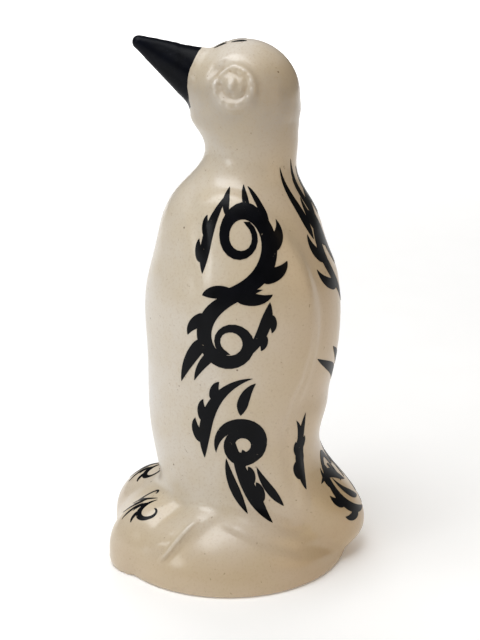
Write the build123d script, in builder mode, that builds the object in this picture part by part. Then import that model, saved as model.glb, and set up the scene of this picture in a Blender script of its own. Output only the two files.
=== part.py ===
"""Penguin figurine: a hollow stoneware bird on a domed plinth, cast in parts, luted and glazed.

Millimetres, +Z up. The bird faces -Y and its left side is +X. The origin is on the table,
under the middle of the figure.
"""

import os
from itertools import product
from math import acos, asin, cos, degrees, radians, sin

from build123d import *

os.makedirs("parts", exist_ok=True)

# Clay and joints
wall = 4.5                    # cast wall of the hollow pieces
lute_gap = 0.1                # slip line between two luted pieces
overrun = 10.0                # how far a cutting or carrying shape passes what it works on

# Torso and neck
torso_height = 197.0          # table to the waist of the neck, where the head is luted on
body_depth = 93.2             # chest to back at the belly
body_width = 87.6             # side to side at the belly, without the flippers
neck_depth = 43.0
neck_width = 40.4
neck_lean = 5.5               # the neck stands this far behind the figure's middle
# Stations up the torso: height share, half-width and half-depth share, lean share of the depth
torso_shares = (
    (0.040, 0.708, -0.003),
    (0.152, 0.805, -0.008),
    (0.254, 0.843, -0.013),
    (0.365, 0.906, -0.013),
    (0.492, 0.966, 0.015),
    (0.619, 1.000, 0.023),
    (0.746, 0.927, 0.023),
    (0.843, 0.807, 0.013),
    (0.919, 0.648, 0.010),
    (0.964, 0.515, 0.035),
)
# Stations of the neck above its waist: share of the way to the head's middle, girth share
neck_shares = ((0.0, 1.0), (0.33, 1.03), (0.90, 0.97))

# Head
head_diameter = 51.2
head_lift = 27.4              # waist of the neck to the middle of the head
head_lean = 2.75              # the head's middle stands this far behind the figure's middle

# Beak
beak_length = 38.0            # root, inside the head, to tip, along its own axis
beak_depth = 30.4             # top to bottom at the root
beak_width = 19.8             # side to side at the root
beak_tip_radius = 3.3
beak_tilt = 28.0              # degrees up from level
beak_root_rise = 7.7          # root above the head's middle
beak_root_reach = 16.8        # root in front of the head's middle
# Stations along the beak: run share, girth share, rise share of the depth
beak_shares = ((0.0, 1.0, 0.0), (0.40, 0.66, -0.011), (0.75, 0.405, -0.003))
tenon_diameter = 9.0          # peg that fills the socket through the head's wall

# Eyes
eye_turn = 13.0               # degrees forward of square to the side
eye_lift = 17.7               # degrees above the head's middle
eye_ring_diameter = 16.4      # to the middle of the ring's roll
eye_ring_roll = 3.4           # thickness of the roll of clay
eye_ball_diameter = 11.0
eye_ball_relief = 1.7         # how far the ball stands out of the head

# Flippers
flipper_length = 124.0
flipper_width = 59.0
flipper_tip_height = 62.0     # table to the tip
flipper_lean = 8.5            # the flipper's middle stands this far behind the figure's middle
flipper_relief = 1.2          # how far it stands out of the flank at its middle
flipper_sweep = 2.5           # its face is swept back, so that the trailing edge stands out more
flipper_lift = 4.0            # and raised, so that the shoulder stands out and the tip fades
# Outline round the flipper from its tip: width share from the middle, length share from the tip
flipper_shares = (
    (0.08, 0.0),
    (0.36, 0.26),
    (0.47, 0.55),
    (0.37, 0.74),
    (0.10, 0.92),
    (-0.24, 1.0),
    (-0.51, 0.94),
    (-0.44, 0.68),
    (-0.33, 0.38),
    (-0.10, 0.07),
)

# Plinth
plinth_diameter = 118.0
plinth_rise = 42.0            # height that the dome would reach in its middle, under the bird
plinth_lead = 4.75            # the plinth's middle stands this far before the figure's middle
plinth_edge = 2.5             # rounding where the dome meets the table
quarter_turn = 90.0           # degrees of the dome's profile, from the table to its top
foot_ring_width = 9.0         # dry ring that the figure stands on
foot_ring_depth = 2.0         # recess inside the ring
vent_diameter = 12.0          # holes in the floor and the deck that let the air out in the kiln

# Feet
foot_length = 56.0
foot_width = 42.0
foot_rise = 26.0              # height of the lobe above its own middle
foot_middle_height = 8.0
foot_spread = 20.0            # middle of a foot from the figure's middle plane
foot_setback = 28.0           # middle of a foot inside the plinth's front rim
toe_length = 44.0             # outer toe, a ridge beside the lobe
toe_width = 22.0
toe_thickness = 14.0
toe_spread = 35.0             # middle of the outer toe from the figure's middle plane
toe_setback = 36.75           # middle of the outer toe inside the plinth's front rim
toe_middle_height = 23.5
toe_dip = 27.0                # degrees that the outer toe dips towards the front
toe_splay = 10.0              # degrees that it turns out

# Tail
tail_height = 104.0           # table to where the rump leaves the back
tail_overhang = 9.55          # tip past the plinth's rear rim
tail_width = 74.0             # across the rump
# Stations down the tail: height share, half-width share, front and back share of the tip's reach
tail_shares = (
    (1.000, 0.81, -0.15, 0.61),
    (0.865, 0.97, -0.26, 0.655),
    (0.712, 1.00, -0.27, 0.668),
    (0.519, 0.97, -0.20, 0.634),
    (0.365, 0.95, -0.16, 0.79),
    (0.231, 0.89, -0.08, 0.955),
    (0.135, 0.82, -0.03, 1.00),
    (0.048, 0.73, 0.03, 0.91),
)

# Fired-on black transfers. A stroke is a crescent: start share, end share, then the share of its
# length by which its outer and its inner edge bow out.
transfer_film = 0.25          # thickness of the fired film
flipper_mark_width = 46.0
flipper_mark_height = 86.0
flipper_mark_lean = -2.0
flipper_mark_height_above_table = 142.0
flipper_stroke_shares = (
    ((-0.10, 0.50), (0.30, 0.08), 0.34, 0.16),
    ((0.42, 0.26), (-0.08, 0.02), 0.30, 0.12),
    ((0.30, 0.04), (-0.30, -0.34), 0.20, 0.04),
    ((-0.42, 0.24), (0.02, -0.08), -0.38, -0.16),
    ((0.40, -0.14), (-0.02, -0.30), -0.34, -0.10),
    ((-0.06, -0.28), (-0.38, -0.50), 0.16, -0.04),
)
flank_mark_width = 36.0
flank_mark_height = 66.0
flank_mark_lean = 2.0
flank_mark_height_above_table = 70.0
flank_stroke_shares = (
    ((-0.50, 0.34), (0.02, 0.02), -0.34, -0.10),
    ((0.20, 0.50), (0.22, 0.00), 0.34, 0.14),
    ((0.02, 0.06), (0.06, -0.34), -0.34, -0.12),
    ((0.18, -0.04), (0.46, -0.50), -0.20, 0.02),
)
back_mark_width = 50.0
back_mark_height = 64.0
back_mark_height_above_table = 158.0
back_stroke_shares = (
    ((0.10, 0.50), (0.36, 0.10), -0.30, -0.10),
    ((0.46, 0.16), (0.12, -0.12), 0.34, 0.12),
    ((0.36, -0.06), (0.06, -0.50), 0.26, 0.04),
)
loin_mark_width = 16.0
loin_mark_height = 13.0
loin_mark_height_above_table = 99.0
loin_stroke_shares = (
    ((0.50, 0.50), (0.04, -0.10), -0.26, 0.04),
    ((0.22, 0.00), (0.06, -0.50), 0.30, 0.02),
)
rump_mark_width = 11.0
rump_mark_height = 32.0
rump_mark_lean = 30.0
rump_mark_height_above_table = 60.0
rump_stroke_shares = (
    ((-0.30, 0.50), (0.30, 0.06), 0.26, 0.06),
    ((0.50, 0.20), (-0.20, -0.14), 0.30, 0.08),
    ((-0.30, -0.06), (0.20, -0.50), -0.26, 0.02),
)
tail_mark_width = 42.0
tail_mark_height = 27.0
tail_mark_height_above_table = 33.0
tail_stroke_shares = (
    ((0.16, 0.50), (0.10, -0.30), -0.26, -0.06),
    ((0.50, 0.24), (0.14, -0.50), 0.24, -0.02),
)
foot_mark_width = 19.0
foot_mark_length = 24.0
foot_mark_lead = 12.7         # middle of the mark before the foot's middle
foot_stroke_shares = (
    ((0.10, 0.50), (0.40, -0.02), -0.30, -0.06),
    ((0.46, 0.10), (0.08, -0.16), 0.36, 0.10),
    ((0.38, -0.14), (0.12, -0.50), 0.34, 0.02),
)
crown_mark_width = 9.0
crown_mark_length = 15.0
crown_mark_lead = 3.0
crown_stroke_shares = (
    ((0.20, 0.50), (0.24, -0.50), 0.24, 0.06),
)

# Worked out from the sizes above
plinth_front = plinth_lead + plinth_diameter / 2
foot_lead = plinth_front - foot_setback
toe_lead = plinth_front - toe_setback
tail_reach = plinth_diameter / 2 - plinth_lead + tail_overhang
head_middle = torso_height + head_lift
beak_root = (0, head_lean - beak_root_reach, head_middle + beak_root_rise)
beak_plane = Plane(origin=beak_root, x_dir=(1, 0, 0),
                   z_dir=(0, -cos(radians(beak_tilt)), sin(radians(beak_tilt))))
eye_direction = Vector(cos(radians(eye_lift)) * cos(radians(eye_turn)),
                       -cos(radians(eye_lift)) * sin(radians(eye_turn)), sin(radians(eye_lift)))


def bird_skin(growth):
    """The outside of torso, neck and head, grown outwards by growth."""
    with BuildPart() as skin:
        for height_share, girth_share, lean_share in torso_shares:
            with BuildSketch(Plane.XY.offset(torso_height * height_share)):
                with Locations((0, body_depth * lean_share)):
                    Ellipse(body_width / 2 * girth_share + growth, body_depth / 2 * girth_share + growth)
        for lift_share, girth_share in neck_shares:
            with BuildSketch(Plane.XY.offset(torso_height + head_lift * lift_share)):
                with Locations((0, neck_lean)):
                    Ellipse(neck_width / 2 * girth_share + growth, neck_depth / 2 * girth_share + growth)
        loft()
        with Locations((0, head_lean, head_middle)):
            Sphere(head_diameter / 2 + growth)
    return skin.part


def plinth_dome(growth):
    """The outside of the domed plinth, grown outwards by growth."""
    radius = plinth_diameter / 2 + growth
    with BuildPart() as dome:
        with BuildSketch(Plane.XZ.offset(plinth_lead)):
            with BuildLine():
                rim = EllipticalCenterArc((0, 0), radius, plinth_rise + growth,
                                          start_angle=0, arc_size=quarter_turn)
                Polyline(rim @ 1, (0, 0), rim @ 0)
            make_face()
        revolve(axis=Axis((0, -plinth_lead, 0), (0, 0, 1)))
    return dome.part


def tail_lobe(growth):
    """The swelling that runs from the lower back down to the tail tip, grown outwards by growth."""
    with BuildPart() as lobe:
        for height_share, width_share, front_share, back_share in tail_shares:
            with BuildSketch(Plane.XY.offset(tail_height * height_share)):
                with Locations((0, tail_reach * (front_share + back_share) / 2)):
                    Ellipse(tail_width / 2 * width_share + growth,
                            tail_reach * (back_share - front_share) / 2 + growth)
        loft()
    return lobe.part


def rounded(width, length, thickness):
    """An ellipsoid of the given three sizes about the origin."""
    return scale(Sphere(1), by=(width / 2, length / 2, thickness / 2))


def foot_lobe(growth):
    """The smooth lobe of the left foot before its toes are cut, grown outwards by growth."""
    lobe = rounded(foot_width + 2 * growth, foot_length + 2 * growth, 2 * (foot_rise + growth))
    return lobe.moved(Location((foot_spread, -foot_lead, foot_middle_height)))


def flipper_leaf(growth):
    """The left flipper as a leaf that stands out of the flank, grown outwards by growth."""
    face = bird_skin(flipper_relief + growth).moved(Location((0, flipper_sweep, flipper_lift)))
    with BuildPart() as leaf:
        with BuildSketch(Plane.YZ):
            with BuildLine():
                Spline(*[(flipper_lean + flipper_width * across, flipper_tip_height + flipper_length * up)
                         for across, up in flipper_shares], periodic=True)
            make_face()
        extrude(amount=body_width / 2 + overrun)
        add(face, mode=Mode.INTERSECT)
    return leaf.part


def transfer(plane, middle, size, stroke_shares, film, reach, hands=(1,)):
    """Crescent strokes, on one or both hands of a middle line, printed on to a film of a surface."""
    across, up = size
    with BuildPart() as print_block:
        with BuildSketch(plane):
            for hand, stroke in product(hands, stroke_shares):
                start, end, outer_share, inner_share = stroke
                first = Vector(middle[0] + hand * start[0] * across, middle[1] + start[1] * up)
                last = Vector(middle[0] + hand * end[0] * across, middle[1] + end[1] * up)
                run = hand * (last - first).length
                with BuildLine():
                    SagittaArc(first, last, run * outer_share)
                    SagittaArc(first, last, run * inner_share)
                make_face()
        extrude(amount=reach)
        add(film, mode=Mode.INTERSECT)
    return print_block.part


def write_pair(left_piece, name):
    """Write a piece of the bird's left side, and its mirror image for the right side."""
    left_piece.label = f"left_{name}"
    export_step(left_piece, f"parts/left_{name}.step")
    with BuildPart() as right_piece:
        mirror(left_piece, about=Plane.YZ)
    right_piece.part.label = f"right_{name}"
    export_step(right_piece.part, f"parts/right_{name}.step")


skin = bird_skin(0)
skin_bed = bird_skin(lute_gap)
cavity = bird_skin(-wall)
dome_bed = plinth_dome(lute_gap)

# Torso: open at the neck, and cut below to sit on the dome
with BuildPart() as torso:
    add(skin)
    add(cavity, mode=Mode.SUBTRACT)
    split(bisect_by=Plane.XY.offset(torso_height), keep=Keep.BOTTOM)
    add(dome_bed, mode=Mode.SUBTRACT)
torso.part.label = "torso"
export_step(torso.part, "parts/torso.step")

# Head: hollow, butted on the neck, with a socket for the beak
with BuildPart() as head:
    add(skin)
    add(cavity, mode=Mode.SUBTRACT)
    split(bisect_by=Plane.XY.offset(torso_height), keep=Keep.TOP)
    with BuildSketch(beak_plane):
        Circle(tenon_diameter / 2 + lute_gap)
    extrude(amount=overrun, both=True, mode=Mode.SUBTRACT)
head.part.label = "head"
export_step(head.part, "parts/head.step")

# Beak: a tapering oval with a round tip, saddled on the head and held by a tenon
tip_run = beak_length - beak_tip_radius
with BuildPart() as beak:
    for run_share, girth_share, rise_share in beak_shares:
        with BuildSketch(beak_plane.offset(tip_run * run_share)):
            with Locations((0, beak_depth * rise_share)):
                Ellipse(beak_width / 2 * girth_share, beak_depth / 2 * girth_share)
    with BuildSketch(beak_plane.offset(tip_run)):
        Circle(beak_tip_radius)
    loft()
    with Locations(beak_plane.offset(tip_run)):
        Sphere(beak_tip_radius)
    add(skin_bed, mode=Mode.SUBTRACT)
    with BuildSketch(beak_plane):
        Circle(tenon_diameter / 2)
    extrude(amount=tip_run / 2)
beak.part.label = "beak"
export_step(beak.part, "parts/beak.step")

# Eyes: a roll of clay laid round a flattened ball on each side of the head
head_centre = Vector(0, head_lean, head_middle)
ring_rise = ((head_diameter / 2) ** 2 - (eye_ring_diameter / 2) ** 2) ** 0.5
ring_plane = Plane(origin=head_centre + eye_direction * ring_rise, z_dir=eye_direction)
with BuildPart() as eye_ring:
    with Locations(ring_plane):
        Torus(eye_ring_diameter / 2, eye_ring_roll / 2)
    add(skin_bed, mode=Mode.SUBTRACT)
write_pair(eye_ring.part, "eye_ring")

ball_rise = (head_diameter - eye_ball_diameter) / 2 + eye_ball_relief
with BuildPart() as eye_ball:
    with Locations(Plane(origin=head_centre + eye_direction * ball_rise, z_dir=eye_direction)):
        Sphere(eye_ball_diameter / 2)
    add(skin_bed, mode=Mode.SUBTRACT)
write_pair(eye_ball.part, "eye_ball")

# Flippers: leaves laid on the flanks, thickest along the trailing edge
flipper_whole = flipper_leaf(0)
with BuildPart() as flipper:
    add(flipper_whole)
    add(skin_bed, mode=Mode.SUBTRACT)
write_pair(flipper.part, "flipper")

# Plinth: a hollow dome with a floor, a dry foot ring and a vent, thrown in one piece
floor_height = foot_ring_depth + wall
floor_turn = degrees(asin(floor_height / (plinth_rise - wall)))
deck_turn = degrees(acos(vent_diameter / plinth_diameter))
ceiling_turn = degrees(acos(vent_diameter / (plinth_diameter - 2 * wall)))
with BuildPart() as plinth:
    with BuildSketch(Plane.XZ.offset(plinth_lead)) as plinth_half:
        with BuildLine():
            outside = EllipticalCenterArc((0, 0), plinth_diameter / 2, plinth_rise,
                                          start_angle=0, arc_size=deck_turn)
            inside = EllipticalCenterArc((0, 0), plinth_diameter / 2 - wall, plinth_rise - wall,
                                         start_angle=floor_turn, arc_size=ceiling_turn - floor_turn)
            Line(outside @ 1, inside @ 1)
            Polyline(inside @ 0, (vent_diameter / 2, floor_height), (vent_diameter / 2, foot_ring_depth),
                     (plinth_diameter / 2 - foot_ring_width, foot_ring_depth),
                     (plinth_diameter / 2 - foot_ring_width, 0), outside @ 0)
        make_face()
        fillet(plinth_half.vertices().sort_by(Axis.X)[-1], plinth_edge)
    revolve(axis=Axis((0, -plinth_lead, 0), (0, 0, 1)))
plinth.part.label = "plinth"
export_step(plinth.part, "parts/plinth.step")

# Feet: a lobe for the inner toes and a ridge for the outer one, laid on the front of the dome
foot_whole = foot_lobe(0)
outer_toe = rounded(toe_width, toe_length, toe_thickness).moved(
    Location((toe_spread, -toe_lead, toe_middle_height), (toe_dip, 0, toe_splay)))
with BuildPart() as foot:
    add(foot_whole)
    split(bisect_by=Plane.XY, keep=Keep.TOP)
    split(bisect_by=Plane.YZ.offset(lute_gap / 2), keep=Keep.TOP)
    add(outer_toe)
    add(dome_bed, mode=Mode.SUBTRACT)
    add(skin_bed, mode=Mode.SUBTRACT)
write_pair(foot.part, "foot")

# Tail: runs from the lower back over the rim of the plinth
tail_whole = tail_lobe(0)
with BuildPart() as tail:
    add(tail_whole)
    add(skin_bed, mode=Mode.SUBTRACT)
    add(dome_bed, mode=Mode.SUBTRACT)
    add([flipper.part, mirror(flipper.part, about=Plane.YZ, mode=Mode.PRIVATE)], mode=Mode.SUBTRACT)
tail.part.label = "tail"
export_step(tail.part, "parts/tail.step")

# Transfers: each lies on the surface of the piece under it, as a film of even thickness
side_reach = body_width / 2 + overrun
back_plane = Plane(origin=(0, 0, 0), x_dir=(-1, 0, 0), z_dir=(0, 1, 0))
torso_film = bird_skin(lute_gap + transfer_film) - skin_bed
tail_bed = tail_lobe(lute_gap)
tail_cover = tail_lobe(lute_gap + transfer_film)
side_film = (bird_skin(lute_gap + transfer_film) + flipper_leaf(lute_gap + transfer_film) + tail_cover
             - flipper_leaf(lute_gap) - skin_bed - tail_bed)
tail_film = tail_cover - tail_bed
foot_film = foot_lobe(lute_gap + transfer_film) - foot_lobe(lute_gap)

flipper_transfer = transfer(Plane.YZ, (flipper_mark_lean, flipper_mark_height_above_table),
                            (flipper_mark_width, flipper_mark_height),
                            flipper_stroke_shares, side_film, side_reach)
write_pair(flipper_transfer, "flipper_transfer")

flank_transfer = transfer(Plane.YZ, (flank_mark_lean, flank_mark_height_above_table),
                          (flank_mark_width, flank_mark_height),
                          flank_stroke_shares, side_film, side_reach)
write_pair(flank_transfer, "flank_transfer")

rump_transfer = transfer(Plane.YZ, (rump_mark_lean, rump_mark_height_above_table),
                         (rump_mark_width, rump_mark_height),
                         rump_stroke_shares, tail_film, side_reach)
write_pair(rump_transfer, "rump_transfer")

foot_transfer = transfer(Plane.XY, (foot_spread, -foot_lead - foot_mark_lead),
                         (foot_mark_width, foot_mark_length), foot_stroke_shares, foot_film,
                         foot_middle_height + foot_rise + overrun, hands=(1, -1))
write_pair(foot_transfer, "foot_transfer")

back_transfer = transfer(back_plane, (0, back_mark_height_above_table), (back_mark_width, back_mark_height),
                         back_stroke_shares, torso_film, body_depth, hands=(1, -1))
back_transfer.label = "back_transfer"
export_step(back_transfer, "parts/back_transfer.step")

loin_transfer = transfer(back_plane, (0, loin_mark_height_above_table), (loin_mark_width, loin_mark_height),
                         loin_stroke_shares, torso_film, body_depth, hands=(1, -1))
loin_transfer.label = "loin_transfer"
export_step(loin_transfer, "parts/loin_transfer.step")

tail_transfer = transfer(back_plane, (0, tail_mark_height_above_table), (tail_mark_width, tail_mark_height),
                         tail_stroke_shares, tail_film, tail_reach + overrun, hands=(1, -1))
tail_transfer.label = "tail_transfer"
export_step(tail_transfer, "parts/tail_transfer.step")

crown_transfer = transfer(Plane.XY.offset(head_middle), (0, -crown_mark_lead),
                          (crown_mark_width, crown_mark_length),
                          crown_stroke_shares, torso_film, head_diameter, hands=(1, -1))
crown_transfer.label = "crown_transfer"
export_step(crown_transfer, "parts/crown_transfer.step")
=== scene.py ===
"""Penguin figurine in glazed stoneware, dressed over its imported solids. Metres, in the solids' frame.

The bird faces -Y and its left side is +X.
"""

from collections import Counter
from math import cos, degrees, pi, radians, sin

import bmesh
import bpy
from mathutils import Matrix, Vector
from mathutils.bvhtree import BVHTree
from mathutils.geometry import intersect_point_line


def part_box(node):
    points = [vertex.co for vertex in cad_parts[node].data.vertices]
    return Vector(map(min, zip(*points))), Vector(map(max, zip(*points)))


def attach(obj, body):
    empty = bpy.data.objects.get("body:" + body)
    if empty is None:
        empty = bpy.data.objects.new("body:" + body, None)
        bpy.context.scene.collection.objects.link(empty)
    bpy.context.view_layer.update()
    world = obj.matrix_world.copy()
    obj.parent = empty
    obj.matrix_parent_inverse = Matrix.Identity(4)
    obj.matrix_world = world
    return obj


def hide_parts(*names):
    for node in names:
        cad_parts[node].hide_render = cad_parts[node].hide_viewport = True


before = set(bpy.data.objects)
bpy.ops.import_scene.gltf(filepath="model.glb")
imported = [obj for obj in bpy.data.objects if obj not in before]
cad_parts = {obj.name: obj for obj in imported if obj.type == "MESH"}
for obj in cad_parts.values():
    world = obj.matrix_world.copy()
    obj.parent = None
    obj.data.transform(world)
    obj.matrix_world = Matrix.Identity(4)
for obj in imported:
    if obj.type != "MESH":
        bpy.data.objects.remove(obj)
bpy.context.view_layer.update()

# Clay figure: hollow stoneware castings, luted together wet with slip and fired under one glaze.
# Slip and glaze round every joint, so copies of the castings are joined and softened as one skin,
# which is parted further down, along the joints, into one piece for each casting.
castings = ("plinth", "torso", "head", "tail", "left_flipper", "right_flipper", "left_foot", "right_foot",
            "left_eye_ring", "right_eye_ring", "left_eye_ball", "right_eye_ball")
luted = castings + ("beak",)
clay_grain = 0.001
slip_rounds = 12
lute_rounds = 30
toe_rounds = 90
eye_slip_rounds = 26
plug_depth = 0.0025
vent_plug_radius = 0.008
vent_plug_height = 0.0045
socket_plug_radius = 0.0055
socket_plug_inset = 0.0022
socket_lift = radians(25.3)
beak_tilt = radians(28.0)
foot_ring_top = 0.0015
lute_low = 0.004
lute_high = 0.046
shoulder_low = Vector((-0.05, -0.035, 0.160))
shoulder_high = Vector((0.05, 0.045, 0.198))
trailing_low = Vector((-0.05, 0.012, 0.050))
trailing_high = Vector((0.05, 0.046, 0.165))
toe_low = Vector((0.036, -0.044, 0.006))
toe_high = Vector((0.052, -0.013, 0.038))
root_low = Vector((-0.017, -0.027, 0.216))
root_high = Vector((0.017, -0.009, 0.2525))
root_rounds = 50


def finished_piece(bm, name):
    """The bmesh as a smooth object in the scene."""
    mesh = bpy.data.meshes.new(name)
    bm.to_mesh(mesh)
    bm.free()
    mesh.shade_smooth()
    piece = bpy.data.objects.new(name, mesh)
    bpy.context.scene.collection.objects.link(piece)
    return piece


def remeshed(lump, grain):
    """A bmesh of the lump's outside in even quads of one grain; the lump itself is used up."""
    remesh = lump.modifiers.new("slip", "REMESH")
    remesh.mode = "VOXEL"
    remesh.voxel_size = grain
    even = bmesh.new()
    even.from_object(lump, bpy.context.evaluated_depsgraph_get())
    bpy.data.objects.remove(lump)
    return even


def soften(bm, verts, rounds):
    """Round off everything narrower than a few grains."""
    for lap in range(rounds):
        bmesh.ops.smooth_vert(bm, verts=verts, factor=0.5,
                              use_axis_x=True, use_axis_y=True, use_axis_z=True)
    bm.normal_update()


plinth_low, plinth_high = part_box("plinth")
plinth_middle = (plinth_low + plinth_high) / 2
head_low, head_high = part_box("head")
head_radius = (head_high.y - head_low.y) / 2
head_middle = Vector((0, (head_low.y + head_high.y) / 2, head_high.z - head_radius))
socket = head_middle + Vector((0, -cos(socket_lift), sin(socket_lift))) * (head_radius - socket_plug_inset)

joined = bmesh.new()
for casting in luted:
    joined.from_mesh(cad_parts[casting].data)
bmesh.ops.remove_doubles(joined, verts=joined.verts, dist=1e-6)
vent_plug = bmesh.ops.create_cone(joined, cap_ends=True, segments=32, radius1=vent_plug_radius,
                                  radius2=vent_plug_radius, depth=plug_depth)
bmesh.ops.translate(joined, verts=vent_plug["verts"],
                    vec=(plinth_middle.x, plinth_middle.y, vent_plug_height))
socket_plug = bmesh.ops.create_cone(joined, cap_ends=True, segments=32, radius1=socket_plug_radius,
                                    radius2=socket_plug_radius, depth=plug_depth)
plug_turn = Vector((0, -cos(beak_tilt), sin(beak_tilt))).to_track_quat("Z", "Y").to_matrix()
bmesh.ops.rotate(joined, verts=socket_plug["verts"], cent=(0, 0, 0), matrix=plug_turn)
bmesh.ops.translate(joined, verts=socket_plug["verts"], vec=socket)
skin = remeshed(finished_piece(joined, "clay_lump"), clay_grain)

# Only the outside of the hollow figure is kept: what hangs together with the crown
crown = max(skin.verts, key=lambda vert: vert.co.z)
outside = {crown}
edge_of_search = [crown]
while edge_of_search:
    vert = edge_of_search.pop()
    for edge in vert.link_edges:
        other = edge.other_vert(vert)
        if other not in outside:
            outside.add(other)
            edge_of_search.append(other)
bmesh.ops.delete(skin, geom=[vert for vert in skin.verts if vert not in outside], context="VERTS")

eye_margin = Vector((0.0040, 0.0060, 0.0060))
eye_boxes = []
for side in ("left", "right"):
    low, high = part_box(f"{side}_eye_ring")
    eye_boxes.append((low - eye_margin, high + eye_margin))
toe_boxes = [(toe_low, toe_high),
             (Vector((-toe_high.x, toe_low.y, toe_low.z)), Vector((-toe_low.x, toe_high.y, toe_high.z)))]


def within(boxes, point):
    """Whether a point lies in one of the boxes."""
    return any(all(low[i] < point[i] < high[i] for i in range(3)) for low, high in boxes)


def soften_within(boxes, rounds):
    """Soften the part of the skin that lies in the boxes."""
    soften(skin, [vert for vert in skin.verts if within(boxes, vert.co)], rounds)


def soften_foot():
    """Soften the band where the feet, the tail and the torso are luted to the plinth."""
    soften(skin, [vert for vert in skin.verts if lute_low < vert.co.z < lute_high], lute_rounds)


fine_boxes = eye_boxes + toe_boxes + [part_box("beak")]
fine_edges = [edge for edge in skin.edges if all(within(fine_boxes, vert.co) for vert in edge.verts)]
bmesh.ops.subdivide_edges(skin, edges=fine_edges, cuts=1, use_grid_fill=True)
soften(skin, [vert for vert in skin.verts
              if vert.co.z > foot_ring_top and not within(eye_boxes, vert.co)], slip_rounds)
soften_foot()
soften_within([(shoulder_low, shoulder_high)], lute_rounds)
soften_within([(trailing_low, trailing_high)], lute_rounds)
soften_within(toe_boxes, toe_rounds)
soften_foot()
soften_within([(root_low, root_high)], root_rounds)
soften_within(eye_boxes, eye_slip_rounds)

# Modelled lines: grooves and rolls worked into the wet clay with a round-ended tool.
# They part the toes, fold the haunches, mark the front of each flipper and its trailing edge, shape the
# eyes and nostrils, and raise a ridge along each side of the bill.
eye_low, eye_high = eye_boxes[0]
eye_middle = (eye_low + eye_high) / 2


def along(path, point):
    """How far a point is from a path, and the share of the path where it comes nearest."""
    spans = []
    for number, (start, end) in enumerate(zip(path, path[1:])):
        share = min(1, max(0, intersect_point_line(point, start, end)[1]))
        spans.append(((start.lerp(end, share) - point).length, (number + share) / (len(path) - 1)))
    return min(spans)


def work_line(bm, path, reach, lift, fade_in=0.25, fade_out=0.25):
    """Press or raise the clay along a path, on both sides of the bird, fading at the path's ends."""
    for side in (1, -1):
        points = [Vector((side * x, y, z)) for x, y, z in path]
        low = [min(point[i] for point in points) - reach for i in range(3)]
        high = [max(point[i] for point in points) + reach for i in range(3)]
        moves = []
        for vert in bm.verts:
            if all(low[i] < vert.co[i] < high[i] for i in range(3)):
                gap, share = along(points, vert.co)
                if gap < reach:
                    ends = min(1, share / fade_in, (1 - share) / fade_out)
                    moves.append((vert, vert.normal * lift * ends * (1 - (gap / reach) ** 2) ** 2))
        for vert, move in moves:
            vert.co += move
    bm.normal_update()


toe_ridge = ((0.0405, -0.0185, 0.0325), (0.0432, -0.0226, 0.0297), (0.0450, -0.0256, 0.0272),
             (0.0466, -0.0293, 0.0233), (0.0470, -0.0336, 0.0179), (0.0462, -0.0380, 0.0121))
nape = ((0.0200, 0.0130, 0.2150), (0.0120, 0.0215, 0.2155), (0.0, 0.0250, 0.2160),
        (-0.0120, 0.0215, 0.2155))
toe_valley = ((0.0270, -0.0230, 0.0350), (0.0300, -0.0300, 0.0330), (0.0345, -0.0410, 0.0260))
base_valley = ((0.0390, -0.0115, 0.0321), (0.0435, 0.0012, 0.0281), (0.0463, 0.0129, 0.0228),
               (0.0430, 0.0286, 0.0167), (0.0275, 0.0453, 0.0115), (0.0228, 0.0519, 0.0117))
base_swell = ((0.0500, -0.0050, 0.0180), (0.0495, 0.0130, 0.0150), (0.0440, 0.0280, 0.0095),
              (0.0330, 0.0420, 0.0065))
haunch_fold = ((0.0390, 0.0180, 0.0262), (0.0360, 0.0268, 0.0246), (0.0335, 0.0312, 0.0254),
               (0.0330, 0.0340, 0.0290))
haunch_swell = ((0.0310, 0.0265, 0.0640), (0.0305, 0.0285, 0.0527), (0.0325, 0.0312, 0.0382),
                (0.0335, 0.0305, 0.0310))
shoulder_groove = ((0.0110, -0.0225, 0.1880), (0.0200, -0.0215, 0.1810), (0.0290, -0.0195, 0.1730),
                   (0.0350, -0.0170, 0.1565), (0.0385, -0.0170, 0.1400))
trailing_crease = ((0.0335, 0.0360, 0.1500), (0.0340, 0.0358, 0.1350), (0.0345, 0.0350, 0.1145),
                   (0.0352, 0.0310, 0.0990), (0.0362, 0.0268, 0.0900), (0.0355, 0.0225, 0.0750),
                   (0.0335, 0.0235, 0.0541), (0.0342, 0.0262, 0.0391))
work_line(skin, toe_ridge, reach=0.0044, lift=0.0007)
work_line(skin, toe_ridge, reach=0.0019, lift=0.0009, fade_in=0.25, fade_out=0.15)
work_line(skin, nape, reach=0.0090, lift=0.0007, fade_in=0.3, fade_out=0.3)
work_line(skin, toe_valley, reach=0.0060, lift=-0.0009)
work_line(skin, base_valley, reach=0.0050, lift=-0.0009, fade_in=0.15, fade_out=0.2)
work_line(skin, base_swell, reach=0.0090, lift=0.0008)
work_line(skin, haunch_fold, reach=0.0034, lift=-0.0008)
work_line(skin, haunch_swell, reach=0.0045, lift=0.0009)
work_line(skin, shoulder_groove, reach=0.0060, lift=-0.0008, fade_in=0.3, fade_out=0.5)
work_line(skin, trailing_crease, reach=0.0040, lift=-0.0007, fade_in=0.4, fade_out=0.2)

# Each eye is a ball set well forward in its ring, with a lid behind it and a deep socket before it
rough_tree = BVHTree.FromBMesh(skin)


def on_eye(places):
    """Places given as distances behind and above the middle of the left eye, put on the clay."""
    starts = [eye_middle + Vector((head_radius, back, up)) for back, up in places]
    return tuple(rough_tree.ray_cast(start, Vector((-1, 0, 0)))[0] for start in starts)


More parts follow.
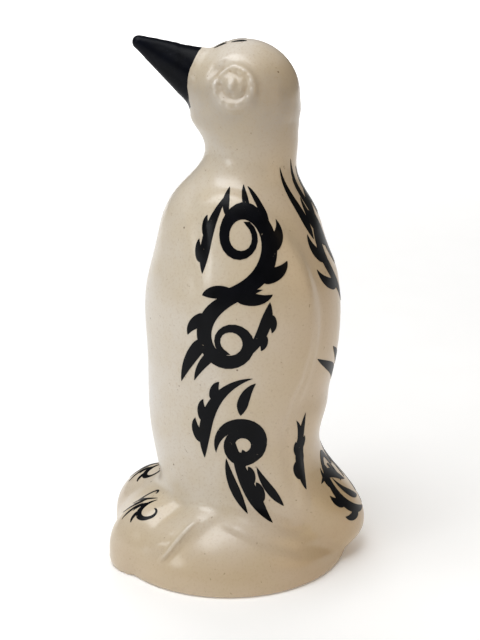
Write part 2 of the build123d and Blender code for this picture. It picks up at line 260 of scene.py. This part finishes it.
ring_length = 0.0092
ring_height = 0.0088
ring_back = 0.0004
ring_drop = 0.0006
ring_turns = range(200, 421, 15)
ring_places = [(ring_back + ring_length * cos(radians(turn)), ring_height * sin(radians(turn)) - ring_drop)
               for turn in ring_turns]
lid_places = ((-0.0010, -0.0048), (0.0016, -0.0040), (0.0034, -0.0018), (0.0042, 0.0012),
              (0.0038, 0.0042), (0.0024, 0.0068))
under_lid = ((-0.0074, 0.0050), (-0.0060, 0.0016), (-0.0040, -0.0014), (-0.0014, -0.0030),
             (0.0010, -0.0026))
behind_ball = ((0.0012, -0.0022), (0.0024, 0.0008), (0.0022, 0.0040), (0.0008, 0.0064))
behind_lid = ((0.0020, -0.0066), (0.0050, -0.0040), (0.0064, 0.0), (0.0062, 0.0034), (0.0046, 0.0064))
ball_places = ((-0.0018, 0.0012), (-0.0016, 0.0013))
socket_places = ((-0.0094, 0.0010), (-0.0088, 0.0040), (-0.0072, 0.0068), (-0.0040, 0.0086),
                 (0.0002, 0.0092))
corner_places = ((-0.0082, 0.0052), (-0.0068, 0.0046))
work_line(skin, on_eye(socket_places), reach=0.0054, lift=-0.0024, fade_in=0.35, fade_out=0.35)
work_line(skin, on_eye(ring_places), reach=0.0040, lift=0.0012, fade_in=0.35, fade_out=0.4)
work_line(skin, on_eye(ball_places), reach=0.0052, lift=0.0014, fade_in=0.01, fade_out=0.01)
work_line(skin, on_eye(lid_places), reach=0.0020, lift=0.0006, fade_in=0.3, fade_out=0.3)
work_line(skin, on_eye(under_lid), reach=0.0018, lift=-0.0006)
work_line(skin, on_eye(behind_ball), reach=0.0018, lift=-0.0005)
work_line(skin, on_eye(behind_lid), reach=0.0020, lift=-0.0004)
work_line(skin, on_eye(corner_places), reach=0.0022, lift=-0.0006, fade_in=0.01, fade_out=0.01)
brow_margin = Vector((0.004, 0.004, 0.004))
brow_boxes = [(low - brow_margin, high + brow_margin) for low, high in eye_boxes]
soften_within(brow_boxes, eye_slip_rounds // 2)
nostril = ((0.0096, -0.0192, 0.2372), (0.0106, -0.0192, 0.2335), (0.0116, -0.0194, 0.2290))
work_line(skin, nostril, reach=0.0022, lift=-0.0005)
bill_ridge = ((0.0082, -0.0200, 0.2330), (0.0066, -0.0270, 0.2380), (0.0050, -0.0350, 0.2425),
              (0.0030, -0.0440, 0.2480))
work_line(skin, bill_ridge, reach=0.0045, lift=0.0006, fade_in=0.2, fade_out=0.3)

# The vent through the plinth's floor is opened again in the plug that closed it
vent_share = 0.75
vent_faces = [face for face in skin.faces
              if face.normal.z < 0 and face.calc_center_median().z < vent_plug_height
              and (face.calc_center_median().xy - plinth_middle.xy).length < vent_plug_radius * vent_share]
bmesh.ops.delete(skin, geom=vent_faces, context="FACES")

# How hollow the skin is at each point, for the brown in the hollows (partly pooled glaze, partly painted
# shade) and the painted highlight on the rises
hollow = skin.verts.layers.float.new("hollow")
skin_normal = skin.verts.layers.float_vector.new("skin_normal")
hollow_rounds = 9
for vert in skin.verts:
    spans = [edge.other_vert(vert).co - vert.co for edge in vert.link_edges]
    bends = sum(span.dot(vert.normal) / span.length_squared for span in spans)
    vert[hollow] = bends / len(spans) * clay_grain
    vert[skin_normal] = vert.normal
for lap in range(hollow_rounds):
    spread = [sum(edge.other_vert(vert)[hollow] for edge in vert.link_edges) / len(vert.link_edges)
              for vert in skin.verts]
    for vert, value in zip(skin.verts, spread):
        vert[hollow] = (vert[hollow] + value) / 2
skin_tree = BVHTree.FromBMesh(skin)


# Glazes: cream over the whole clay body, with iron specks, a few pinholes and a soft gloss, and a brown in
# the hollows that is partly pooled glaze and partly painted shade; painted shade makes it buff at the foot
# and towards the tail and greyer at the throat, and a painted highlight makes it pale on the crown and the
# rises.
# Black satin over the beak. The two meet on a brushed line of their own round the beak's root.
class Wash:
    """A shader socket that can stand in a sum; each sign in an expression adds its Math node."""

    def __init__(self, tree, socket):
        self.tree = tree
        self.socket = socket

    def node(self, kind, settings, values, output=0):
        """A new node: its settings are put first, then the values or links of its sockets."""
        node = self.tree.nodes.new(kind)
        for name, value in settings.items():
            if name == "stops":
                stops = node.color_ramp.elements
                for number, (place, shade) in enumerate(value):
                    stop = stops[number] if number < 2 else stops.new(place)
                    stop.position = place
                    stop.color = (shade, shade, shade, 1)
            else:
                setattr(node, name, value)
        for name, value in values.items():
            if isinstance(value, Wash):
                self.tree.links.new(value.socket, node.inputs[name])
            else:
                node.inputs[name].default_value = value
        return Wash(self.tree, node.outputs[output])

    def maths(self, operation, first, second):
        """The two values through one Math node."""
        return self.node("ShaderNodeMath", {"operation": operation}, {0: first, 1: second})

    def __add__(self, other):
        return self.maths("ADD", self, other)

    def __sub__(self, other):
        return self.maths("SUBTRACT", self, other)

    def __rsub__(self, other):
        return self.maths("SUBTRACT", other, self)

    def __mul__(self, other):
        return self.maths("MULTIPLY", self, other)

    __radd__ = __add__
    __rmul__ = __mul__

    def ramp(self, *stops):
        """The value through a ramp of (place, shade) stops."""
        return self.node("ShaderNodeValToRGB", {"stops": stops}, {0: self})

    def noise(self, scale, detail=2.0, roughness=0.5):
        """Cloudy noise on these coordinates, as a value about one half."""
        return self.node("ShaderNodeTexNoise", {}, {"Vector": self, "Scale": scale, "Detail": detail,
                                                    "Roughness": roughness})

    def dots(self, scale):
        """The distance from the nearest of many scattered points, in cells."""
        return self.node("ShaderNodeTexVoronoi", {}, {"Vector": self, "Scale": scale})

    def tint(self, first, second):
        """From the first colour to the second as this value goes from nought to one."""
        return self.node("ShaderNodeMix", {"data_type": "RGBA"}, {0: self, 6: first, 7: second}, 2)

    def measure(self, operation, other):
        """A dot product with, or the distance from, a fixed vector."""
        return self.node("ShaderNodeVectorMath", {"operation": operation}, {0: self, 1: other}, 1)

    def above(self, limit):
        """One where the value is over a limit, nought elsewhere."""
        return self.maths("GREATER_THAN", self, limit)


def pigment(red, green, blue):
    """A colour given as it looks, out of 255, in the light's own scale."""
    return tuple((((part / 255) + 0.055) / 1.055) ** 2.4 for part in (red, green, blue)) + (1.0,)


def fired_finish(name, **constants):
    """A new material: its wash of Object coordinates, its main shader, and a function that links to it."""
    finish = bpy.data.materials.new(name)
    finish.use_nodes = True
    tree = finish.node_tree
    shader = tree.nodes["Principled BSDF"]
    for socket_name, value in constants.items():
        shader.inputs[socket_name.replace("_", " ")].default_value = value
    place = Wash(tree, tree.nodes.new("ShaderNodeTexCoord").outputs["Object"])

    def feed(socket_name, wash):
        tree.links.new(wash.socket, shader.inputs[socket_name])

    return finish, place, feed


brush_middle = (0, 0.0035, 0.229)
brush_radius = 0.0263
brush_start = 0.1223
brush_wobble = 0.0012
side_on = (0, 1, 1)
forward = (0, -cos(beak_tilt), sin(beak_tilt))
backward = (0, 1, 0)
upward = (0, 0, 4)


def brushed(place):
    """One where the black glaze lies: ahead of an arc round the face, seen from the side."""
    flat = place.node("ShaderNodeVectorMath", {"operation": "MULTIPLY"}, {0: place, 1: side_on})
    wobble = brush_wobble * place.noise(scale=180.0, detail=2.0)
    outside = (flat.measure("DISTANCE", brush_middle) + wobble).above(brush_radius + brush_wobble / 2)
    return outside * place.measure("DOT_PRODUCT", forward).above(brush_start)


def cream_coat(place):
    """The cream glaze's colour, with painted shade and highlights in it, and the values of its mottling,
    grain and pinholes.
    """
    depth = place.node("ShaderNodeAttribute", {"attribute_name": "hollow"}, {}, 2)
    # Mask for the brown in the hollows: partly glaze pooled there, partly painted shade in the creases
    pool_and_shade = depth.ramp((0.05, 0.0), (0.25, 1.0))
    height = place.measure("DOT_PRODUCT", upward)
    # Painted highlight: paler where the skin bulges outward, above the foot
    rise_highlight = (-1 * depth).ramp((0.06, 0.0), (0.24, 1.0)) * height.ramp((0.04, 0.0), (0.08, 1.0))
    # Painted shade: darker, warmer buff towards the tail, on the side turned from the light
    tailward_shade = (place.measure("DOT_PRODUCT", backward) * 8 + 0.5).ramp((0.42, 0.0), (0.95, 1.0))
    drift = place.noise(scale=14.0, detail=3.0)
    mottle = place.noise(scale=60.0, detail=4.0, roughness=0.6)
    grain = place.noise(scale=900.0, detail=2.0)
    iron = place.noise(scale=420.0, detail=3.0, roughness=0.6).ramp((0.68, 0.0), (0.74, 1.0))
    pinhole = place.dots(scale=75.0).ramp((0.03, 1.0), (0.045, 0.0))
    coat = drift.ramp((0.35, 0.0), (0.68, 1.0)).tint(pigment(219, 210, 198), pigment(212, 198, 174))
    # Painted shade towards the tail
    coat = (tailward_shade * 0.9).tint(coat, pigment(198, 168, 122))
    # Painted shade: darker, warmer buff towards the foot
    coat = height.ramp((0.04, 0.6), (0.14, 0.0)).tint(coat, pigment(196, 168, 130))
    # Painted shade: greyer at the throat and cheeks, below the crown
    throat_shade = height.ramp((0.79, 0.0), (0.86, 0.7), (0.92, 0.7), (0.98, 0.0))
    coat = throat_shade.tint(coat, pigment(174, 162, 146))
    # Painted highlight: paler on the top of the crown
    coat = height.ramp((0.955, 0.0), (1.0, 0.8)).tint(coat, pigment(234, 227, 218))
    coat = mottle.ramp((0.40, 0.0), (0.75, 0.45)).tint(coat, pigment(205, 186, 152))
    # Brown in the hollows: partly pooled glaze, partly painted shade in the creases
    coat = (pool_and_shade * 0.8).tint(coat, pigment(146, 116, 80))
    # Painted highlight on the rises
    coat = (rise_highlight * 0.6).tint(coat, pigment(240, 234, 226))
    coat = (grain.ramp((0.52, 0.0), (0.68, 1.0)) * 0.22).tint(coat, pigment(184, 158, 124))
    coat = (iron * 0.55).tint(coat, pigment(132, 100, 66))
    coat = (pinhole * 0.8).tint(coat, pigment(112, 86, 58))
    return coat, mottle, grain, pinhole


def black_coat(place):
    """The black glaze's colour, with the values of its drift and grain."""
    drift = place.noise(scale=70.0, detail=3.0)
    grain = place.noise(scale=700.0, detail=3.0)
    coat = drift.ramp((0.3, 0.0), (0.7, 1.0)).tint(pigment(1, 3, 9), pigment(5, 9, 20))
    coat = (grain.ramp((0.62, 0.0), (0.76, 1.0)) * 0.35).tint(coat, pigment(40, 46, 58))
    return coat, drift, grain


def dipped(name, **constants):
    """A glaze in both colours, cream behind the brushed line and black ahead of it."""
    finish, place, feed = fired_finish(name, **constants)
    cream, mottle, grain, pinhole = cream_coat(place)
    black, drift, soot = black_coat(place)
    ahead = brushed(place)
    behind = 1 - ahead
    feed("Base Color", ahead.tint(cream, black))
    feed("Roughness", (0.24 + 0.12 * mottle + 0.25 * pinhole) * behind + (0.36 + 0.16 * drift) * ahead)
    feed("Coat Weight", (0.48 - 0.20 * mottle) * behind + (0.02 + 0.05 * drift) * ahead)
    peel = place.noise(scale=240.0, detail=2.0) + 0.25 * grain + 0.2 * soot - 0.6 * pinhole
    feed("Normal", place.node("ShaderNodeBump", {}, {"Strength": 0.10, "Distance": 0.0004, "Height": peel}))
    return finish


cream_glaze = dipped("cream_glaze", Coat_Roughness=0.21, IOR=1.5)
black_glaze = dipped("black_glaze", Coat_Roughness=0.20, Specular_IOR_Level=0.09)

# Castings: the skin is parted where the castings meet, and each part gets its wall of clay.
# Points beside a joint keep the whole skin's slope, so that the glaze runs over the joint unbroken.
clay_wall = 0.0015
joint_reach = 0.003
joint_rounds = 5

casting_trees = {}
casting_boxes = {}
for casting in luted:
    solid = bmesh.new()
    solid.from_mesh(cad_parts[casting].data)
    casting_trees[casting] = BVHTree.FromBMesh(solid)
    casting_boxes[casting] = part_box(casting)
    solid.free()


def nearest_casting(point):
    """The casting whose surface is nearest to a point of the skin."""
    gaps = []
    for casting, (low, high) in casting_boxes.items():
        if all(low[i] - joint_reach < point[i] < high[i] + joint_reach for i in range(3)):
            gaps.append((casting_trees[casting].find_nearest(point)[3], casting))
    return min(gaps)[1]


def neighbours(face):
    """The faces that share an edge with a face."""
    return [other for edge in face.edges for other in edge.link_faces if other is not face]


casting_of = {face: nearest_casting(face.calc_center_median()) for face in skin.faces}
for lap in range(joint_rounds):
    votes = {}
    for face in skin.faces:
        around = Counter(casting_of[other] for other in neighbours(face))
        around[casting_of[face]] += 1
        votes[face] = around.most_common(1)[0][0]
    casting_of = votes

# A stray patch inside another casting's area goes to that casting
patches = {casting: [] for casting in luted}
seen = set()
for first in skin.faces:
    if first in seen:
        continue
    seen.add(first)
    patch = [first]
    for face in patch:
        for other in neighbours(face):
            if other not in seen and casting_of[other] == casting_of[first]:
                seen.add(other)
                patch.append(other)
    patches[casting_of[first]].append(patch)
for found in patches.values():
    for patch in sorted(found, key=len)[:-1]:
        own = set(patch)
        around = Counter(casting_of[other] for face in patch for other in neighbours(face)
                         if other not in own)
        for face in patch:
            casting_of[face] = around.most_common(1)[0][0]

skin.faces.index_update()
casting_number = {face.index: casting for face, casting in casting_of.items()}


def parted(casting, finish):
    """One casting's part of the skin, with its wall of clay and its glaze, in the place of its solid."""
    part = skin.copy()
    part.faces.ensure_lookup_table()
    others = [face for face in part.faces if casting_number[face.index] != casting]
    bmesh.ops.delete(part, geom=others, context="FACES")
    slope = part.verts.layers.float_vector["skin_normal"]
    wall = bmesh.ops.extrude_face_region(part, geom=part.faces[:], use_keep_orig=True)
    for vert in wall["geom"]:
        if isinstance(vert, bmesh.types.BMVert):
            vert.co -= vert[slope] * clay_wall
            vert[slope] = (0, 0, 0)
    bmesh.ops.recalc_face_normals(part, faces=part.faces)
    piece = finished_piece(part, f"{casting}_clay")
    slopes = piece.data.attributes["skin_normal"].data
    piece.data.normals_split_custom_set_from_vertices([tuple(slope.vector) for slope in slopes])
    piece.data.attributes.remove(piece.data.attributes["skin_normal"])
    piece.data.materials.append(finish)
    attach(piece, "root")
    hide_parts(casting)


for casting in castings:
    parted(casting, cream_glaze)

# Beak: a short oval cone cast by itself and luted into the head, with slip run round its root.
# It is parted from the skin as the other castings are, and dipped in the black satin glaze.
parted("beak", black_glaze)

# Transfers: black ceramic prints slid on to the glaze and fired again, curls with thorns along one
# side. Each stroke is a strip laid along a spiral, pointed where it starts and thinning to its end.
film_lift = 0.00016
film_depth = 0.0004
stroke_steps = 44
stroke_lanes = 4
wrap_radius = 0.044
ray_start = 0.3
curl_belly = 0.33
thorn_belly = 0.3
thorn_lean = 42
thorn_bends = (6, -118)
thorn_width = 0.8
thorn_shrink = 0.1
swell_power = 0.8
blunt_power = 40
film_crease = radians(50)

black_transfer, place, feed = fired_finish("black_transfer", Coat_Roughness=0.15, Specular_IOR_Level=0.09)
drift = place.noise(scale=120.0, detail=3.0)
grain = place.noise(scale=1000.0, detail=2.0)
worn = place.noise(scale=520.0, detail=3.0, roughness=0.6).ramp((0.72, 0.0), (0.75, 1.0))
ink = drift.ramp((0.3, 0.0), (0.7, 1.0)).tint(pigment(4, 5, 8), pigment(11, 12, 17))
ink = (worn * 0.8).tint(ink, pigment(150, 138, 120))
feed("Base Color", ink)
feed("Roughness", 0.26 + 0.14 * drift)
feed("Coat Weight", 0.08 - 0.06 * drift)
feed("Normal", place.node("ShaderNodeBump", {}, {"Strength": 0.10, "Distance": 0.0002, "Height": grain}))


def spiral(start, heading, length, bends):
    """Points with headings along a line that bends by bends[0] at its start and bends[1] at its end."""
    across, up = start
    turn = radians(heading)
    line = [(across, up, turn)]
    for step in range(stroke_steps):
        share = (step + 0.5) / stroke_steps
        turn += radians(bends[0] + (bends[1] - bends[0]) * share) / stroke_steps
        across += cos(turn) * length / stroke_steps
        up += sin(turn) * length / stroke_steps
        line.append((across, up, turn))
    return line


def stroke(bm, lay, start, heading, length, bends, width, belly=0.35, blunt=0.0):
    """One strip of film, widest at the share belly and blunt times as wide at its end."""
    line = spiral(start, heading, length, bends)
    strip = bmesh.ops.create_grid(bm, x_segments=stroke_steps, y_segments=stroke_lanes, size=1)
    for vert in strip["verts"]:
        share = (vert.co.x + 1) / 2
        across, up, turn = line[round(share * stroke_steps)]
        if share < belly:
            swell = sin(pi / 2 * share / belly) ** swell_power
        else:
            thinning = max(0, cos(pi / 2 * (share - belly) / (1 - belly))) ** swell_power
            swell = max(blunt * (1 - share ** blunt_power) ** 0.5, thinning)
        aside = vert.co.y * swell * width / 2
        vert.co = lay(across - sin(turn) * aside, up + cos(turn) * aside)
    bmesh.ops.remove_doubles(bm, verts=strip["verts"], dist=1e-5)


def thorned(bm, lay, start, heading, length, bends, width, side, shares, thorn, blunt=0.40):
    """A curl with thorns along one side that lean with its flow."""
    stroke(bm, lay, start, heading, length, bends, width, curl_belly, blunt)
    line = spiral(start, heading, length, bends)
    for number, share in enumerate(shares):
        across, up, turn = line[round(share * stroke_steps)]
        root = (across - cos(turn) * width / 2, up - sin(turn) * width / 2)
        stroke(bm, lay, root, degrees(turn) + side * thorn_lean, thorn * (1 - thorn_shrink * number),
               (side * thorn_bends[0], side * thorn_bends[1]), width * thorn_width, thorn_belly)


def on_skin(start, direction):
    """The place on the skin that a straight line meets, lifted by the film."""
    place, slope = skin_tree.ray_cast(start, direction)[:2]
    if place is None:
        place, slope = skin_tree.find_nearest(start + direction * ray_start)[:2]
    return place + slope * film_lift


def wrapped(facing, hand, height, axis=0.0, size=1.0):
    """Lays a print, or its mirror image, round the bird: facing is 0 for the left side, 90 for the back."""
    def lay(across, up):
        turn = radians(facing) + hand * size * across / wrap_radius
        outward = Vector((cos(turn), sin(turn), 0))
        return on_skin(Vector((0, axis, height + size * up)) + outward * ray_start, -outward)
    return lay


def from_above(squeeze, spread, lead, height):
    """Lays a print, or its mirror image, straight down from a height; squeeze narrows it across."""
    def lay(across, up):
        return on_skin(Vector((spread + squeeze * across, up - lead, height)), Vector((0, 0, -1)))
    return lay


def printed(node, lays, curls, blades):
    """The finished print in the place of its solid: its curls and blades, with their thickness."""
    film = bmesh.new()
    for lay in lays:
        for curl in curls:
            thorned(film, lay, *curl)
        for blade in blades:
            stroke(film, lay, *blade)
    film.normal_update()
    under = bmesh.ops.extrude_face_region(film, geom=film.faces[:], use_keep_orig=True)
    for vert in under["geom"]:
        if isinstance(vert, bmesh.types.BMVert):
            vert.co -= skin_tree.find_nearest(vert.co)[1] * film_depth
    bmesh.ops.recalc_face_normals(film, faces=film.faces)
    piece = finished_piece(film, f"{node}_print")
    piece.data.set_sharp_from_angle(angle=film_crease)
    piece.data.materials.append(black_transfer)
    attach(piece, "root")
    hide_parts(node)


# A curl is its start (across, up), heading, length, bends and width, then the side, the places along
# it and the length of its thorns. A blade is a plain stroke.
flipper_curls = (((-0.015, -0.006), 4, 0.124, (30, 1000), 0.0084, -1, (0.15, 0.27, 0.39), 0.020),
                 ((0.015, -0.002), 190, 0.108, (20, 1020), 0.0078, -1, (0.17, 0.31), 0.018),
                 ((-0.016, 0.004), 96, 0.040, (-40, -60), 0.0064, 1, (0.2, 0.5), 0.012, 0.0),
                 ((0.018, -0.008), 262, 0.034, (-20, -70), 0.0054, 1, (0.25, 0.55), 0.010, 0.0))
flipper_blades = (((-0.012, -0.026), 228, 0.030, (10, 40), 0.0068, 0.30),
                  ((-0.005, -0.031), 216, 0.024, (20, 50), 0.0052, 0.30),
                  ((-0.004, 0.043), 250, 0.014, (40, 90), 0.0046, 0.40),
                  ((0.008, 0.044), 262, 0.014, (30, 90), 0.0044, 0.40),
                  ((0.020, 0.026), 95, 0.020, (30, 70), 0.0046, 0.35))
flank_curls = (((-0.011, -0.003), 98, 0.088, (-320, -1000), 0.0074, 1, (), 0.014),
               ((0.017, -0.037), 130, 0.048, (-20, -50), 0.0070, -1, (0.28, 0.50, 0.72), 0.012, 0.0),
               ((-0.017, -0.006), 92, 0.050, (-30, -130), 0.0060, 1, (0.20, 0.42, 0.64), 0.013, 0.0))
flank_blades = (((0.005, -0.033), 124, 0.030, (-10, -50), 0.0048, 0.45),
                ((0.023, -0.030), 128, 0.024, (10, -40), 0.0040, 0.40),
                ((0.001, 0.016), 84, 0.017, (-10, -80), 0.0050))
rump_curls = (((0.002, -0.017), 110, 0.037, (-90, 120), 0.0062, 1, (0.25, 0.55), 0.010, 0.0),
              ((-0.003, -0.008), 70, 0.030, (60, -60), 0.0054, -1, (0.15, 0.45), 0.009, 0.0))
foot_curls = (((0.0012, 0.009), 290, 0.030, (30, 560), 0.0028, -1, (0.2, 0.4), 0.008),)
foot_blades = (((0.0012, 0.002), 285, 0.011, (-20, 60), 0.0024),)
back_curls = (((0.002, -0.030), 48, 0.104, (20, 560), 0.0064, -1, (0.16, 0.30, 0.43), 0.020),
              ((0.002, -0.012), 66, 0.046, (-10, 30), 0.0056, -1, (0.35, 0.62), 0.014, 0.0))
back_blades = (((0.022, 0.004), 72, 0.034, (-10, 30), 0.0056),
               ((0.014, 0.014), 84, 0.026, (-20, 10), 0.0046),
               ((0.003, 0.012), 92, 0.024, (-30, -30), 0.0042))
loin_blades = (((0.002, -0.010), 56, 0.034, (-80, 40), 0.0052),
               ((0.002, -0.002), 60, 0.020, (-60, 30), 0.0042))
tail_curls = (((0.0015, -0.012), 10, 0.070, (40, 600), 0.0054, -1, (0.18, 0.34, 0.48), 0.013),
              ((0.0015, 0.002), 40, 0.034, (-40, -80), 0.0046, 1, (0.3, 0.6), 0.009, 0.0))
tail_blades = (((0.002, -0.006), 20, 0.022, (30, 60), 0.0040),
               ((0.001, 0.010), 60, 0.014, (-30, -40), 0.0036))
crown_blades = (((0.0050, 0.0068), 255, 0.0070, (50, -20), 0.0024),
                ((0.0040, -0.0022), 240, 0.0058, (50, 20), 0.0022))
hands = (1, -1)
back_facing = 90
flipper_turn = 4
rump_turn = 33
foot_squeeze = 0.66
foot_spread = 0.021
for side, name, facing in ((1, "left", 0), (-1, "right", 180)):
    on_flipper = wrapped(facing - side * flipper_turn, side, height=0.147, size=0.94)
    on_flank = wrapped(facing, side, height=0.068, size=1.06)
    on_rump = wrapped(facing + side * rump_turn, side, height=0.060, axis=0.010)
    on_foot = [from_above(hand * foot_squeeze, side * foot_spread, lead=0.0480, height=0.045)
               for hand in hands]
    printed(f"{name}_flipper_transfer", [on_flipper], flipper_curls, flipper_blades)
    printed(f"{name}_flank_transfer", [on_flank], flank_curls, flank_blades)
    printed(f"{name}_rump_transfer", [on_rump], rump_curls, ())
    printed(f"{name}_foot_transfer", on_foot, foot_curls, foot_blades)
on_back = [wrapped(back_facing, hand, height=0.158) for hand in hands]
on_loin = [wrapped(back_facing, hand, height=0.098) for hand in hands]
on_tail = [wrapped(back_facing, hand, height=0.033, axis=0.015) for hand in hands]
on_crown = [from_above(hand, 0.0, lead=0.003, height=ray_start) for hand in hands]
printed("back_transfer", on_back, back_curls, back_blades)
printed("loin_transfer", on_loin, (), loin_blades)
printed("tail_transfer", on_tail, tail_curls, tail_blades)
printed("crown_transfer", on_crown, (), crown_blades)

# Studio: a pale floor with a faint glow, a large soft light above, a small one at the front left of the
# picture for the highlights, a weak warm one from the other side, and one that whitens the floor behind.
# The camera stands where the photograph was taken.
camera_reach = 0.600
camera_side = 0.00075
camera_height = 0.310
camera_dip = radians(17.8)
camera_lens = 74.0

floor = bmesh.new()
bmesh.ops.create_grid(floor, x_segments=1, y_segments=1, size=5.0)
floor_piece = finished_piece(floor, "floor")
floor_paint, place, feed = fired_finish("floor_paint", Roughness=0.85, Emission_Color=(1, 1, 1, 1),
                                        Emission_Strength=0.14)
feed("Base Color", place.noise(scale=30.0).tint(pigment(250, 250, 249), pigment(254, 254, 254)))
floor_piece.data.materials.append(floor_paint)


def soft_light(name, place, aim, size, power, colour):
    """A square area light at a place, turned to face a point."""
    lamp = bpy.data.lights.new(name, "AREA")
    lamp.size = size
    lamp.energy = power
    lamp.color = colour
    light = bpy.data.objects.new(name, lamp)
    light.location = place
    light.rotation_euler = (Vector(aim) - Vector(place)).to_track_quat("-Z", "Y").to_euler()
    light.visible_camera = False
    bpy.context.scene.collection.objects.link(light)
    return light


figure_middle = (0, 0, 0.12)
soft_light("window", (0.75, -0.95, 0.45), figure_middle,
           size=0.26, power=1.5, colour=(0.95, 0.98, 1.0))
soft_light("ceiling", (0.30, -0.34, 1.28), figure_middle,
           size=1.0, power=13.5, colour=(0.97, 0.985, 1.0))
soft_light("fill", (0.6, 1.0, 0.40), (0, 0, 0.08),
           size=0.7, power=1.4, colour=(1.0, 0.70, 0.36))
backdrop = soft_light("backdrop", (-3.0, 0, 1.9), (-3.4, 0, 0),
                      size=3.0, power=110, colour=(1.0, 1.0, 1.0))
backdrop.visible_glossy = False
room = bpy.data.worlds.new("room")
room.use_nodes = True
air = room.node_tree.nodes["Background"]
air.inputs["Color"].default_value = (1.0, 0.95, 0.88, 1)
air.inputs["Strength"].default_value = 0.115
bpy.context.scene.world = room
bpy.context.scene.view_settings.view_transform = "Standard"

lens = bpy.data.cameras.new("camera")
lens.lens = camera_lens
camera = bpy.data.objects.new("camera", lens)
camera.location = (camera_reach, camera_side, camera_height)
camera.rotation_euler = (pi / 2 - camera_dip, 0, pi / 2)
bpy.context.scene.collection.objects.link(camera)
bpy.context.scene.camera = camera
